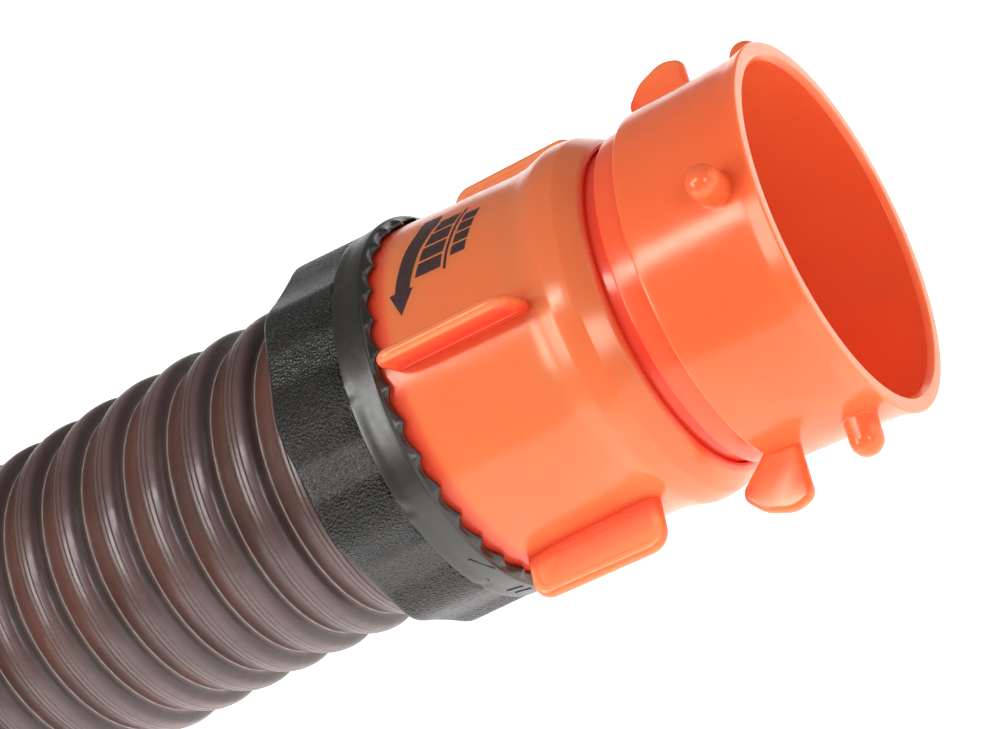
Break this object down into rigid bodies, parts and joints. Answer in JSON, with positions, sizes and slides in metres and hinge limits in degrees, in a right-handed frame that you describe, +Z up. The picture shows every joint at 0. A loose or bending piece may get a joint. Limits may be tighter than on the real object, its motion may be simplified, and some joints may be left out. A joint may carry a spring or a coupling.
{
  "type": "sewer hose kit",
  "caption": "Corrugated waste hose with a swivelling bayonet fitting on one end and a swivelling lug fitting on the other, each held on by a turning locking ring.",
  "frame": {"origin": "on the floor under the bayonet fitting, about half way along it; the fitting rests on the band of its locking ring", "axes": "+X along the fitting out of the bayonet mouth, +Z up; the hose leaves towards -X and comes back beside itself at -Y"},
  "size_m": [1.4664, 0.83, 0.12],
  "materials": {
    "swivel_plastic": "translucent deep orange moulding, satin gloss",
    "body_plastic": "translucent orange moulding, satin gloss",
    "ring_plastic": "black moulding with leather grain on the grip lobes",
    "seal_rubber": "matt black rubber",
    "spring_steel": "bright spring steel",
    "clamp_nylon": "natural nylon",
    "hose_vinyl": "brown translucent corrugated vinyl over a wire helix"
  },
  "bodies": {
    "hose": {"bayonet_fitting_body": "body_plastic", "bayonet_swivel_seal": "seal_rubber", "bayonet_hose_gasket": "seal_rubber", "bayonet_clamp_upper": "clamp_nylon", "bayonet_clamp_lower": "clamp_nylon", "bayonet_hose_end": "hose_vinyl", "hose_front_run": "hose_vinyl", "hose_fold": "hose_vinyl", "hose_back_run": "hose_vinyl", "lug_hose_end": "hose_vinyl", "lug_clamp_upper": "clamp_nylon", "lug_clamp_lower": "clamp_nylon", "lug_hose_gasket": "seal_rubber", "lug_swivel_seal": "seal_rubber", "lug_fitting_body": "body_plastic"},
    "bayonet_swivel": {"bayonet_barrel": "swivel_plastic", "bayonet_retaining_ring": "spring_steel"},
    "bayonet_ring": {"bayonet_locking_ring": "ring_plastic"},
    "lug_swivel": {"lug_coupling": "swivel_plastic", "lug_face_gasket": "seal_rubber", "lug_retaining_ring": "spring_steel"},
    "lug_ring": {"lug_locking_ring": "ring_plastic"}
  },
  "joints": [
    {"name": "bayonet_swivel_turn", "type": "hinge", "parent": "hose", "child": "bayonet_swivel", "pos_m": [0.01, 0, 0.0488], "axis": [1, 0, 0], "continuous": true},
    {"name": "bayonet_ring_turn", "type": "hinge", "parent": "hose", "child": "bayonet_ring", "pos_m": [-0.048, 0, 0.0488], "axis": [1, 0, 0], "range_deg": [0, 40]},
    {"name": "lug_swivel_turn", "type": "hinge", "parent": "hose", "child": "lug_swivel", "pos_m": [0.01, -0.72, 0.06005], "axis": [1, 0, 0], "continuous": true},
    {"name": "lug_ring_turn", "type": "hinge", "parent": "hose", "child": "lug_ring", "pos_m": [-0.048, -0.72, 0.06005], "axis": [1, 0, 0], "range_deg": [0, 40]}
  ]
}
